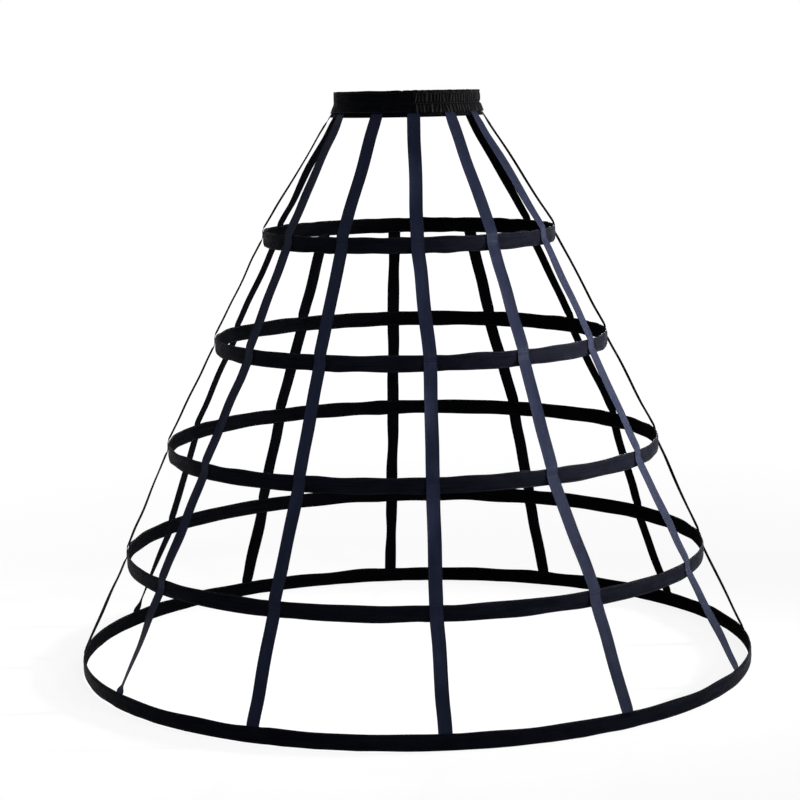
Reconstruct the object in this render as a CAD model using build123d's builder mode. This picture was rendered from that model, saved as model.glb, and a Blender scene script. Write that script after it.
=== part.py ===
from build123d import *
from math import ceil, cos, degrees, floor, hypot, radians, sin, sqrt, tan
import os

# Crinoline cage: five ribbon-cased hoops hang on twelve ribbon tapes from a waistband that is plain on one
# half and gathered over elastic on the other. Millimetres, +Z up. It stands on its hem, with its axis on Z
# and its first tape, under the waistband's front seam, at -Y.

# Clearance between layers that lie on each other, and between pieces that slide into each other
lay_gap = 0.15
fit_gap = 0.1

# Tapes
tape_width = 19.0
tape_thickness = 0.8
tape_tuck = 5.0
tape_hold_share = 0.5
# Even steps in which a tape turns on its way from one hoop to the next
tape_steps = 6
hem_tuck = 12.0

# Where each tape starts: 0 for the waistband, 1 for the first hoop, above which the back is open
tape_starts = (0, 0, 0, 0, 0, 1, 1, 1, 0, 0, 0, 0)
# Where each tape is sewn on, in degrees off its even place: at the waist, then at hoops 1 to 5
tape_sways = (
    (1.0, -1.0, 1.0, 0.0, -0.5, 0.0),
    (0.0, -1.5, -2.0, -3.0, 0.0, 0.0),
    (-3.0, -1.0, -2.5, -3.5, -0.5, 1.5),
    (0.0, 0.0, 0.0, 0.0, 0.0, 0.0),
    (1.5, -1.0, -2.5, -4.0, -0.5, 0.5),
    (0.0, 0.5, 0.5, -1.0, -0.5, 0.0),
    (0.0, 2.0, 1.5, 1.0, 1.0, 1.0),
    (0.0, 2.5, 2.0, 2.0, 1.5, 1.0),
    (4.0, 1.0, 2.5, 3.0, -0.5, 0.5),
    (0.0, 0.0, 0.0, 0.0, 0.0, 0.0),
    (-3.0, 3.5, 4.5, 3.0, 0.5, -0.5),
    (3.5, 0.5, 0.5, 1.0, 0.0, 0.0),
)

# Hoops, from the waist down to the hem: outside diameters, and spacings between their lower edges
hoop_1_diameter = 430.0
hoop_2_diameter = 580.0
hoop_3_diameter = 728.0
hoop_4_diameter = 860.0
hoop_5_diameter = 1000.0
spacing_1_to_2 = 155.0
spacing_2_to_3 = 155.0
spacing_3_to_4 = 159.0
spacing_4_to_5 = 154.0

# Flat strip inside each hoop, and the sleeve that joins its ends
boning_height = 17.0
boning_thickness = 1.2
boning_end_gap = 2.0
sleeve_length = 32.0
sleeve_wall = 0.3

# Hoop casing: a ribbon tube, stitched flat above and below the channel that holds strip and sleeve
casing_wall = 0.6
casing_seam = 2.5

# Waistband: inside diameter, drop from its lower edge to the first hoop, reach of its inner layer below the
# outer one, flare of its lower row, cloth, and the stitch line between the rows
waist_diameter = 206.0
waist_drop = 162.0
inner_reach = 6.0
flare_angle = 21.0
cloth = 0.8
stitch_line = 1.4

# Elastics, and their room above and below
elastic_thickness = 1.2
upper_elastic_width = 15.0
lower_elastic_width = 6.0
elastic_ease = 0.5

# Gathers of the elasticated half, in two rows
gather_count = 40
gather_height = 1.4
gather_root = 0.2

# Sizes that follow: hoops
sleeve_depth = boning_thickness + 2 * (fit_gap + sleeve_wall)
sleeve_height = boning_height + 2 * (fit_gap + sleeve_wall)
channel_depth = sleeve_depth + 2 * fit_gap
channel_height = sleeve_height + 2 * fit_gap
casing_depth = channel_depth + 2 * casing_wall
casing_height = channel_height + 2 * casing_seam

# The hem's casing is deeper: the ends of the tapes lie in it, between its outer wall and the strip
slot_width = tape_width + 2 * lay_gap
slot_depth = tape_thickness + 2 * lay_gap
slot_face = sqrt((hoop_5_diameter / 2 - casing_wall - fit_gap) ** 2 - (slot_width / 2) ** 2)
tape_hem_radius = slot_face - slot_depth + lay_gap
hem_strip_radius = tape_hem_radius - lay_gap - boning_thickness / 2
hem_depth = hoop_5_diameter / 2 - hem_strip_radius + casing_depth / 2

# Heights of the hoops' lower edges above the floor, on which the hem stands
hoop_5_height = 0.0
hoop_4_height = hoop_5_height + spacing_4_to_5
hoop_3_height = hoop_4_height + spacing_3_to_4
hoop_2_height = hoop_3_height + spacing_2_to_3
hoop_1_height = hoop_2_height + spacing_1_to_2
hem_top = hoop_5_height + casing_height
hoops = (
    (hoop_1_diameter, hoop_1_height, casing_depth),
    (hoop_2_diameter, hoop_2_height, casing_depth),
    (hoop_3_diameter, hoop_3_height, casing_depth),
    (hoop_4_diameter, hoop_4_height, casing_depth),
    (hoop_5_diameter, hoop_5_height, hem_depth),
)

# Heights in the waistband: tape ends and lower elastic share the flared row, the upper elastic has its own
flare_slope = tan(radians(flare_angle))
flare_stretch = hypot(1, flare_slope)
band_bottom = hoop_1_height + casing_height + waist_drop
band_edge = band_bottom + inner_reach
tape_bend = band_edge - tape_thickness
tape_end = band_edge + tape_tuck
tape_top = tape_end + tape_thickness * flare_slope / flare_stretch
lower_end = tape_top + lower_elastic_width + 2 * elastic_ease
row_split = lower_end + stitch_line / 2
upper_start = lower_end + stitch_line
upper_end = upper_start + upper_elastic_width + 2 * elastic_ease
band_top = upper_end + cloth

# Radii in the waistband's upper row. Layers of the flared row are deeper, measured level, than across.
waist_radius = waist_diameter / 2
slot_inner = waist_radius + cloth
tape_waist_radius = slot_inner + lay_gap * flare_stretch
tape_face = tape_waist_radius + tape_thickness * flare_stretch
tape_reach = hypot(tape_face, tape_width / 2) + lay_gap * flare_stretch
slot_outer = max(tape_reach, slot_inner + elastic_thickness + 2 * lay_gap)
band_radius = slot_outer + cloth

# Slope of a tape from the waistband to the first hoop, which the waistband's inner layer follows
tape_start = tape_waist_radius + (row_split - tape_bend) * flare_slope
first_drop = tape_bend - (hoop_1_height + casing_height)
run_slope = (hoop_1_diameter / 2 + lay_gap - tape_start) / first_drop

# Angles round the axis, in degrees from +X
front = -90.0
back = 90.0
tape_pitch = 360.0 / len(tape_sways)
joint_angle = back + tape_pitch / 2


def radial_plane(angle):
    """Upright plane through the axis: its x runs outwards at the angle, its y runs up."""
    turn = radians(angle)
    return Plane((0, 0, 0), x_dir=(cos(turn), sin(turn), 0), z_dir=(sin(turn), -cos(turn), 0))


def round_point(radius, angle):
    """Point of a level plane at a radius and an angle."""
    return (radius * cos(radians(angle)), radius * sin(radians(angle)))


def save(piece, name):
    """Label the finished piece and write its file."""
    piece.part.label = name
    export_step(piece.part, f"parts/{name}.step")


def band_point(radius, height):
    """(radius, height) on a layer of the waistband that has the given radius in the upper row."""
    flare = max(row_split - max(height, tape_bend), 0) * flare_slope
    skirt = max(tape_bend - height, 0) * run_slope
    return (radius + flare + skirt, height)


def tape_angle(tape, place):
    """Angle of a tape at the waist (place 0), at a hoop, or part of the way from one to the next."""
    start_sway, end_sway = tape_sways[tape][floor(place)], tape_sways[tape][ceil(place)]
    return front + tape * tape_pitch + start_sway + (end_sway - start_sway) * (place - floor(place))


def tape_run(start):
    """The face of a tape that lies on the hoops, from its start to the hem, as (radius, height, place)."""
    points = [(*band_point(tape_waist_radius, height), 0) for height in (tape_end, tape_bend)]
    for place, (diameter, height, _) in enumerate(hoops[:-1], start=1):
        face = diameter / 2 + lay_gap
        top = height + casing_height
        hold_share = tape_hold_share if hoops[place][0] > diameter else 1
        points += [(face, top, place), (face, top - hold_share * casing_height, place)]
    points += [(tape_hem_radius, height, len(hoops)) for height in (hem_top, hem_top - hem_tuck)]
    points = [point for point in points if point[2] >= start]
    run = points[:1]
    for near, far in zip(points, points[1:]):
        steps = tape_steps if far[2] > near[2] else 1
        run += [tuple(a + (b - a) * step / steps for a, b in zip(near, far)) for step in range(1, steps + 1)]
    return run


def tape_section(tape, before, point, after):
    """Section of a tape at a point of its run, mitred between the points before and after."""
    spans = [(a, b) for a, b in ((before, point), (point, after)) if a != b]
    normals = []
    for (near_radius, near_height, _), (far_radius, far_height, _) in spans:
        length = hypot(far_radius - near_radius, far_height - near_height)
        normals.append(((near_height - far_height) / length, (far_radius - near_radius) / length))
    spread = 1 + normals[0][0] * normals[-1][0] + normals[0][1] * normals[-1][1]
    out = tape_thickness * (normals[0][0] + normals[-1][0]) / spread
    up = tape_thickness * (normals[0][1] + normals[-1][1]) / spread
    radius, height, place = point
    turn = radians(tape_angle(tape, place))
    across = Vector(out * cos(turn), out * sin(turn), up)
    along = Vector(-sin(turn), cos(turn), 0)
    origin = (radius * cos(turn), radius * sin(turn), height)
    with BuildSketch(Plane(origin, x_dir=across, z_dir=across.cross(along))) as section:
        with Locations((across.length / 2, 0)):
            Rectangle(across.length, tape_width)
    return section.sketch


def band_section(slot_top):
    """Section of the waistband: two layers joined above a slot, the inner one longer, behind the tapes."""
    outer_side = [band_point(band_radius, height) for height in (band_edge, row_split, band_top)]
    inner_heights = (band_top, row_split, tape_bend, band_bottom)
    inner_side = [band_point(waist_radius, height) for height in inner_heights]
    slot_heights = (band_bottom, tape_bend, slot_top)
    slot_side = [band_point(slot_inner, height) for height in slot_heights]
    slot_back = [band_point(slot_outer, height) for height in (slot_top, band_edge)]
    return outer_side + inner_side + slot_side + slot_back


os.makedirs("parts", exist_ok=True)

# Hoops: casing, strip and sleeve. The hem's upper edge is open for the tapes.
for number, (diameter, height, depth) in enumerate(hoops, start=1):
    with BuildPart() as casing:
        with BuildSketch(radial_plane(joint_angle)):
            with Locations((diameter / 2 - depth / 2, height + casing_height / 2)):
                Rectangle(depth, casing_height)
                Rectangle(depth - 2 * casing_wall, channel_height, mode=Mode.SUBTRACT)
        revolve(axis=Axis.Z)
        if number == len(hoops):
            with BuildSketch(Plane.XY.offset(hem_top)):
                for tape in range(len(tape_sways)):
                    with PolarLocations(slot_face - slot_depth / 2, 1, start_angle=tape_angle(tape, number)):
                        Rectangle(slot_depth, slot_width)
            extrude(amount=-casing_seam, mode=Mode.SUBTRACT)
    save(casing, f"hoop_{number}_casing")

    middle = (diameter / 2 - depth + casing_depth / 2, height + casing_height / 2)
    end_angle = degrees(boning_end_gap / middle[0])
    with BuildPart() as boning:
        with BuildSketch(radial_plane(joint_angle + end_angle / 2)):
            with Locations(middle):
                Rectangle(boning_thickness, boning_height)
        revolve(axis=Axis.Z, revolution_arc=360 - end_angle)
    save(boning, f"hoop_{number}_boning")

    sleeve_angle = degrees(sleeve_length / middle[0])
    with BuildPart() as sleeve:
        with BuildSketch(radial_plane(joint_angle - sleeve_angle / 2)):
            with Locations(middle):
                Rectangle(sleeve_depth, sleeve_height)
                Rectangle(sleeve_depth - 2 * sleeve_wall, sleeve_height - 2 * sleeve_wall, mode=Mode.SUBTRACT)
        revolve(axis=Axis.Z, revolution_arc=sleeve_angle)
    save(sleeve, f"hoop_{number}_sleeve")

# Tapes, each one ribbon that bends over the hoops and turns a little to the place of the next
for number, start in enumerate(tape_starts):
    run = tape_run(start)
    spots = zip([run[0], *run], run, [*run[1:], run[-1]])
    with BuildPart() as tape:
        loft([tape_section(number, before, point, after) for before, point, after in spots], ruled=True)
    save(tape, f"tape_{number + 1:02d}")

# Plain half of the waistband: stitched flat, open below for the tapes' ends
with BuildPart() as waistband_plain:
    with BuildSketch(radial_plane(back)):
        with BuildLine():
            Polyline(*band_section(tape_top + lay_gap), close=True)
        make_face()
    revolve(axis=Axis.Z, revolution_arc=180)
save(waistband_plain, "waistband_plain")

# Gathered half: two channels for the elastic, parted by the stitch line, and a row of gathers over each
gather_pitch = 180.0 / gather_count


def gather_outline(height):
    """Level section of a row of gathers: scallops outside, the slot's wall inside."""
    inside = band_point(slot_outer, height)[0]
    root = band_point(band_radius, height)[0] + gather_root
    crest = root + gather_height
    with BuildSketch(Plane.XY.offset(height)) as outline:
        with BuildLine():
            for gather in range(gather_count):
                start = front + gather * gather_pitch
                ThreePointArc(
                    round_point(root, start),
                    round_point(crest, start + gather_pitch / 2),
                    round_point(root, start + gather_pitch),
                )
            Line(round_point(root, back), round_point(inside, back))
            CenterArc((0, 0), inside, back, -180)
            Line(round_point(inside, front), round_point(root, front))
        make_face()
    return outline.sketch


with BuildPart() as waistband_gathered:
    with BuildSketch(radial_plane(front)):
        with BuildLine():
            Polyline(*band_section(lower_end), close=True)
        make_face()
        with Locations(((slot_inner + slot_outer) / 2, (upper_start + upper_end) / 2)):
            Rectangle(slot_outer - slot_inner, upper_end - upper_start, mode=Mode.SUBTRACT)
    revolve(axis=Axis.Z, revolution_arc=180)
    loft([gather_outline(band_edge), gather_outline(lower_end)], ruled=True)
    extrude(gather_outline(upper_start), amount=band_top - upper_start)
save(waistband_gathered, "waistband_gathered")

# Elastics, in the middle of their channels, the lower one flared with its row
elastic_inner = (slot_inner + slot_outer - elastic_thickness) / 2
elastic_outer = elastic_inner + elastic_thickness
elastic_spans = {
    "elastic_lower": (tape_top + elastic_ease, lower_end - elastic_ease),
    "elastic_upper": (upper_start + elastic_ease, upper_end - elastic_ease),
}
for name, (low, high) in elastic_spans.items():
    corners = [
        band_point(elastic_inner, low),
        band_point(elastic_outer, low),
        band_point(elastic_outer, high),
        band_point(elastic_inner, high),
    ]
    with BuildPart() as elastic:
        with BuildSketch(radial_plane(front)):
            with BuildLine():
                Polyline(*corners, close=True)
            make_face()
        revolve(axis=Axis.Z, revolution_arc=180)
    save(elastic, name)
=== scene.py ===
import math

import bpy
import numpy as np
from mathutils import Matrix, Vector


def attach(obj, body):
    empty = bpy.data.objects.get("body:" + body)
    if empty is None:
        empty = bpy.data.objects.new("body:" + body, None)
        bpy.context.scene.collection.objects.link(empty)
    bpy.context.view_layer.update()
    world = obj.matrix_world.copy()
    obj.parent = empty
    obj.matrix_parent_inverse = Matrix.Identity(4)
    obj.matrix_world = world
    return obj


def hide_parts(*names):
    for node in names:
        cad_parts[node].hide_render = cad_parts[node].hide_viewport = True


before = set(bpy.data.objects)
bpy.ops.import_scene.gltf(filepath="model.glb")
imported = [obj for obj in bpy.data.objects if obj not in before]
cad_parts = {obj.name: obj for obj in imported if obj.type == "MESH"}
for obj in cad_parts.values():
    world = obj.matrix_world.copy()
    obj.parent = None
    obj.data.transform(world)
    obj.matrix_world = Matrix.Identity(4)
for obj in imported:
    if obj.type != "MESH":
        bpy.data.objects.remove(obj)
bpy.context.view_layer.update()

# Looks of the crinoline cage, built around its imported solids. Lengths are in millimetres until they become
# mesh points, and angles are degrees from +X, as in the part's source. The stage is in metres.
MM = 0.001

# The part's own lengths. A hoop: outside diameter, height of its lower edge, and depth of its casing.
HOOPS = (
    (430.0, 623.0, 3.4),
    (580.0, 468.0, 3.4),
    (728.0, 313.0, 3.4),
    (860.0, 154.0, 3.4),
    (1000.0, 0.0, 4.1933),
)
HEM = 5
CASING_HEIGHT = 23.0
CASING_HALF_DEPTH = 1.7
LAY_GAP = 0.15
JOINT_ANGLE = 105.0
SLEEVE_LENGTH = 32.0
TAPE_WIDTH = 19.0
TAPE_THICKNESS = 0.8
TAPE_HOLD_SHARE = 0.5
TAPE_HEM_RADIUS = 498.2567
HEM_TUCK = 12.0
FRONT, BACK = -90.0, 90.0
TAPE_PITCH = 30.0
# Where each tape starts: 0 is the waist, 1 the first hoop
TAPE_STARTS = (0, 0, 0, 0, 0, 1, 1, 1, 0, 0, 0, 0)
# Degrees from a tape's even place at the waist and at each hoop
TAPE_SWAYS = (
    (1.0, -1.0, 1.0, 0.0, -0.5, 0.0),
    (0.0, -1.5, -2.0, -3.0, 0.0, 0.0),
    (-3.0, -1.0, -2.5, -3.5, -0.5, 1.5),
    (0.0, 0.0, 0.0, 0.0, 0.0, 0.0),
    (1.5, -1.0, -2.5, -4.0, -0.5, 0.5),
    (0.0, 0.5, 0.5, -1.0, -0.5, 0.0),
    (0.0, 2.0, 1.5, 1.0, 1.0, 1.0),
    (0.0, 2.5, 2.0, 2.0, 1.5, 1.0),
    (4.0, 1.0, 2.5, 3.0, -0.5, 0.5),
    (0.0, 0.0, 0.0, 0.0, 0.0, 0.0),
    (-3.0, 3.5, 4.5, 3.0, 0.5, -0.5),
    (3.5, 0.5, 0.5, 1.0, 0.0, 0.0),
)
TAPES = len(TAPE_SWAYS)
# Heights in the waistband: edges of its inner and outer layers, the tapes' bend and end, stitch line and top
BAND_BOTTOM, BAND_EDGE, TAPE_BEND, TAPE_END = 808.0, 814.0, 813.2, 819.0
ROW_SPLIT, BAND_TOP = 826.9867, 844.4867
# Radii in the waistband's upper row, from the inside out
WAIST_RADIUS, SLOT_INNER, TAPE_WAIST_RADIUS = 103.0, 103.8, 103.9607
SLOT_OUTER, BAND_RADIUS = 105.4079, 106.2079
# Widening of the waistband's lower row, and of the tapes below it, for each millimetre down
FLARE_SLOPE, RUN_SLOPE = 0.3839, 0.6334


def smooth_step(value, low, high):
    """0 below low, 1 above high, and a smooth rise between them."""
    t = np.clip((np.asarray(value, float) - low) / (high - low), 0, 1)
    return t * t * (3 - 2 * t)


def window(value, low, low_end, high_start, high):
    """1 between low_end and high_start, with a smooth rise before and a smooth fall after."""
    return smooth_step(value, low, low_end) * (1 - smooth_step(value, high_start, high))


def waves(draw, rates):
    """Noise of about unit size: cosines at the given rates, with drawn phases and sizes."""
    phase = draw.uniform(0, 2 * math.pi, len(rates))
    size = draw.uniform(0.5, 1, len(rates))
    size /= math.sqrt((size ** 2).sum() / 2)
    return lambda place: (size * np.cos(np.multiply.outer(place, rates) + phase)).sum(-1)


def ring_waves(seed, low, high, count):
    """Waves by the angle in radians, low to high of them round a ring."""
    draw = np.random.default_rng(seed)
    return waves(draw, draw.integers(low, high + 1, count))


def run_waves(seed, short, long, count):
    """Waves by the length along a line, from short to long ones."""
    draw = np.random.default_rng(seed)
    return waves(draw, 2 * math.pi / draw.uniform(short, long, count))


def lengths_along(points):
    """Length along a line of points at each of them."""
    return np.concatenate([[0], np.cumsum(np.linalg.norm(np.diff(points, axis=0), axis=1))])


def unit(vectors):
    """The same directions, one long."""
    return vectors / np.linalg.norm(vectors, axis=-1, keepdims=True)


def ring_axes(angles):
    """Directions along a ring and out of it at each angle."""
    turn = np.radians(angles)
    cos, sin, level = np.cos(turn), np.sin(turn), np.zeros(len(turn))
    return np.stack([-sin, cos, level], -1), np.stack([cos, sin, level], -1)


def ring_points(radii, angles, heights):
    """Grid of points (mm) round the axis, with a row for each angle."""
    turn = np.radians(angles)[:, None]
    return np.stack([radii * np.cos(turn), radii * np.sin(turn), np.broadcast_to(heights, radii.shape)], -1)


class Cloth:
    """Collects patches of quads into one mesh, with lengths along and across the cloth as UVs, in metres."""

    def __init__(self):
        self.points, self.faces, self.uvs, self.slots = [], [], [], []
        self.folds = None
        self.total = 0

    def patch(self, points, uvs, close_u=False, close_v=False, flip=False, slots=None):
        """Adds a grid of quads, with a material slot for each column, and gives its points' numbers."""
        n, m = points.shape[:2]
        i, j = np.meshgrid(np.arange(n - 1 + close_u), np.arange(m - 1 + close_v), indexing="ij")
        i2, j2 = (i + 1) % n, (j + 1) % m
        quads = np.stack([i * m + j, i2 * m + j, i2 * m + j2, i * m + j2], -1).reshape(-1, 4) + self.total
        corners = np.stack([uvs[i, j], uvs[i + 1, j], uvs[i + 1, j + 1], uvs[i, j + 1]], -2).reshape(-1, 4, 2)
        if flip:
            quads, corners = quads[:, ::-1], corners[:, ::-1]
        self.points.append(points.reshape(-1, 3))
        self.slots += (np.zeros_like(j) if slots is None else np.asarray(slots)[j]).ravel().tolist()
        self.faces += quads.tolist()
        self.uvs.append(corners.reshape(-1, 2))
        self.total += n * m
        return np.arange(self.total - n * m, self.total).reshape(n, m)

    def caps(self, rows, uvs):
        """Closes each end of a patch with one face, by the UVs of its first and last row."""
        for at, step in ((0, 1), (-1, -1)):
            self.faces.append(rows[at][::step].tolist())
            self.slots.append(0)
            self.uvs.append(uvs[at][::step])

    def piece(self, name, *materials):
        """Makes the object; the first material is that of slot 0."""
        mesh = bpy.data.meshes.new(name)
        mesh.from_pydata((np.concatenate(self.points) * MM).tolist(), [], self.faces)
        layer = mesh.uv_layers.new(name="cloth")
        layer.data.foreach_set("uv", (np.concatenate(self.uvs) * MM).astype(np.float32).ravel())
        mesh.polygons.foreach_set("use_smooth", np.ones(len(mesh.polygons), bool))
        for material in materials:
            mesh.materials.append(material)
        mesh.polygons.foreach_set("material_index", self.slots)
        if self.folds is not None:
            fold = mesh.attributes.new("fold", "FLOAT", "POINT")
            fold.data.foreach_set("value", self.folds.astype(np.float32).ravel())
        mesh.update()
        made = bpy.data.objects.new(name, mesh)
        bpy.context.scene.collection.objects.link(made)
        return made


def length_uvs(along, across):
    """UV grid from the lengths along (n) and across (m)."""
    return np.stack(np.meshgrid(along, across, indexing="ij"), -1)


# A stitch: points of a ring, place of its two rings along it, how deep its two tips sink, and UVs of a face
STITCH_RING = ((1.0, 0.0), (0.0, 1.0), (-1.0, 0.0), (0.0, -1.0))
STITCH_SHOULDER, STITCH_SINK = 0.3, 0.45
STITCH_UVS = np.array(((0.0, 0.0), (1.0, 0.0), (1.0, 1.0), (0.0, 1.0)))


def add_stitches(cloth, centres, along, out, length, width, height):
    """Adds one rounded stitch at each centre, lying along the cloth and standing out of it."""
    side = np.cross(out, along)
    corners = []
    for step in (-STITCH_SHOULDER, STITCH_SHOULDER):
        for across, up in STITCH_RING:
            ring_side, ring_out = side * (across * width / 2), out * (up * height / 2)
            corners.append(centres + along * (step * length) + ring_side + ring_out)
    for step in (-0.5, 0.5):
        corners.append(centres + along * (step * length) - out * (height * STITCH_SINK))
    start = cloth.total + len(corners) * np.arange(len(centres))
    for k in range(4):
        k2 = (k + 1) % 4
        for shape in ((k, k2, 4 + k2, 4 + k), (k2, k, 8), (4 + k, 4 + k2, 9)):
            faces = start[:, None] + np.array(shape)
            cloth.faces += faces.tolist()
            cloth.slots += [0] * len(centres)
            cloth.uvs.append(np.tile(STITCH_UVS[:len(shape)], (len(centres), 1)))
    cloth.points.append(np.stack(corners, 1).reshape(-1, 3))
    cloth.total += len(corners) * len(centres)


# Materials
def math_node(tree, operation, first, second=None):
    """Result of a calculation with sockets or numbers."""
    made = tree.nodes.new("ShaderNodeMath")
    made.operation = operation
    for socket, value in zip(made.inputs, (first, second)):
        if isinstance(value, (int, float)):
            socket.default_value = value
        elif value is not None:
            tree.links.new(value, socket)
    return made.outputs[0]


def map_range(tree, value, low, high, to_low, to_high):
    """A value moved from one range to another and held within it."""
    made = tree.nodes.new("ShaderNodeMapRange")
    tree.links.new(value, made.inputs["Value"])
    for name, number in (("From Min", low), ("From Max", high), ("To Min", to_low), ("To Max", to_high)):
        made.inputs[name].default_value = number
    return made.outputs["Result"]


def scaled_noise(tree, vector, scale, detail):
    """Noise on the vector stretched by a scale for each axis, as a number round 0.5."""
    mapping = tree.nodes.new("ShaderNodeMapping")
    mapping.inputs["Scale"].default_value = scale
    tree.links.new(vector, mapping.inputs["Vector"])
    noise = tree.nodes.new("ShaderNodeTexNoise")
    noise.inputs["Scale"].default_value = 1.0
    noise.inputs["Detail"].default_value = detail
    tree.links.new(mapping.outputs["Vector"], noise.inputs["Vector"])
    return noise.outputs["Fac"]


def mixed(tree, share, first, second):
    """Colour between two colours or colour sockets."""
    made = tree.nodes.new("ShaderNodeMix")
    made.data_type = "RGBA"
    tree.links.new(share, made.inputs["Factor"])
    for name, value in (("A", first), ("B", second)):
        socket = [s for s in made.inputs if s.name == name and s.type == "RGBA"][0]
        if isinstance(value, tuple):
            socket.default_value = (*value, 1.0)
        else:
            tree.links.new(value, socket)
    return [s for s in made.outputs if s.type == "RGBA"][0]


def add_bump(tree, shader, height, strength, distance):
    """Relief on a shader, with a distance in metres."""
    bump = tree.nodes.new("ShaderNodeBump")
    bump.inputs["Strength"].default_value = strength
    bump.inputs["Distance"].default_value = distance
    tree.links.new(height, bump.inputs["Height"])
    tree.links.new(bump.outputs["Normal"], shader.inputs["Normal"])


def new_material(name):
    """A material with its node tree and its shader."""
    material = bpy.data.materials.new(name)
    material.use_nodes = True
    tree = material.node_tree
    return material, tree, tree.nodes["Principled BSDF"]


# The part of a noise's range that is used
NOISE_RANGE = 0.3, 0.7
# Tones that streaks, blotches and weave add, from 0 for dark to 1 for light; detail and scale of the noises
STREAK_TONES, BLOTCH_TONES, WEAVE_TONE = (-0.2, 0.75), (-0.15, 0.3), 0.16
STREAK_DETAIL, BLOTCH_DETAIL, BLOTCH_SCALE = 3.0, 2.0, (35.0, 90.0, 1.0)
CASING_STREAK, TAPE_STREAK = (9.0, 900.0, 1.0), (7.0, 1100.0, 1.0)
# A selvedge's place across and its fade, and the share of a fold's height where the painted highlight on its
# crest begins
SELVEDGE, SELVEDGE_FADE, CREST_HIGHLIGHT_START = 8.6, 0.35, 0.5
ROUGH_SPREAD, SHEEN_ROUGHNESS = 0.08, 0.4
WEAVE_RELIEF, STREAK_RELIEF = 0.5, 1.4
WOVEN_BUMP, WOVEN_DEPTH = 0.5, 0.0002
# Materials with fine marks
MARK_DETAIL, MARK_SPREAD, MARK_BUMP = 4.0, 0.1, 0.4


def woven(name, dark, light, streak, rough, specular, sheen=0.0, tint=(0.8, 0.8, 1.0), pitch=0.5,
          selvedge=None, crest_highlight=None):
    """Ribbon or cloth with a plain weave of the given pitch (mm) and streaks along it.

    Tapes also have darker selvedges, and gathers have a painted highlight: a paler colour on their crests."""
    material, tree, shader = new_material(name)
    uv = tree.nodes.new("ShaderNodeUVMap")
    uv.uv_map = "cloth"
    split = tree.nodes.new("ShaderNodeSeparateXYZ")
    tree.links.new(uv.outputs["UV"], split.inputs["Vector"])
    turn = 2 * math.pi / (pitch * MM)
    warp = math_node(tree, "SINE", math_node(tree, "MULTIPLY", split.outputs["X"], turn))
    weft = math_node(tree, "SINE", math_node(tree, "MULTIPLY", split.outputs["Y"], turn))
    weave = math_node(tree, "MULTIPLY", warp, weft)
    streaks = scaled_noise(tree, uv.outputs["UV"], streak, STREAK_DETAIL)
    blotches = scaled_noise(tree, uv.outputs["UV"], BLOTCH_SCALE, BLOTCH_DETAIL)
    streak_tone = map_range(tree, streaks, *NOISE_RANGE, *STREAK_TONES)
    tone = math_node(tree, "ADD", streak_tone, math_node(tree, "MULTIPLY", weave, WEAVE_TONE))
    tone = math_node(tree, "ADD", tone, map_range(tree, blotches, *NOISE_RANGE, *BLOTCH_TONES))
    tone = map_range(tree, tone, 0.0, 1.0, 0.0, 1.0)
    colour = mixed(tree, tone, dark, light)
    if selvedge is not None:
        off = math_node(tree, "ABSOLUTE", split.outputs["Y"])
        edge = map_range(tree, off, SELVEDGE * MM, (SELVEDGE + SELVEDGE_FADE) * MM, 0.0, 1.0)
        colour = mixed(tree, edge, colour, selvedge)
    # Painted highlight: the crests of the gathers are paler, by the height of each fold
    if crest_highlight is not None:
        fold = tree.nodes.new("ShaderNodeAttribute")
        fold.attribute_name = "fold"
        colour = mixed(tree, map_range(tree, fold.outputs["Fac"], CREST_HIGHLIGHT_START, 1.0, 0.0, 1.0), colour, crest_highlight)
    tree.links.new(colour, shader.inputs["Base Color"])
    roughness = map_range(tree, tone, 0.0, 1.0, rough + ROUGH_SPREAD, rough - ROUGH_SPREAD)
    tree.links.new(roughness, shader.inputs["Roughness"])
    for socket in ("Specular Tint", "Sheen Tint"):
        shader.inputs[socket].default_value = (*tint, 1.0)
    shader.inputs["Specular IOR Level"].default_value = specular
    shader.inputs["Sheen Weight"].default_value = sheen
    shader.inputs["Sheen Roughness"].default_value = SHEEN_ROUGHNESS
    weave_relief = math_node(tree, "MULTIPLY", weave, WEAVE_RELIEF)
    relief = math_node(tree, "ADD", weave_relief, math_node(tree, "MULTIPLY", streaks, STREAK_RELIEF))
    add_bump(tree, shader, relief, WOVEN_BUMP, WOVEN_DEPTH)
    return material


def solid(name, dark, light, rough, specular, scale, metal=0.0, distance=0.00005):
    """Thread, plastic, steel or elastic with fine marks, by the object's own coordinates."""
    material, tree, shader = new_material(name)
    place = tree.nodes.new("ShaderNodeTexCoord")
    marks = scaled_noise(tree, place.outputs["Object"], scale, MARK_DETAIL)
    tree.links.new(mixed(tree, marks, dark, light), shader.inputs["Base Color"])
    roughness = map_range(tree, marks, *NOISE_RANGE, rough - MARK_SPREAD, rough + MARK_SPREAD)
    tree.links.new(roughness, shader.inputs["Roughness"])
    shader.inputs["Metallic"].default_value = metal
    shader.inputs["Specular IOR Level"].default_value = specular
    add_bump(tree, shader, marks, MARK_BUMP, distance)
    return material


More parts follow.
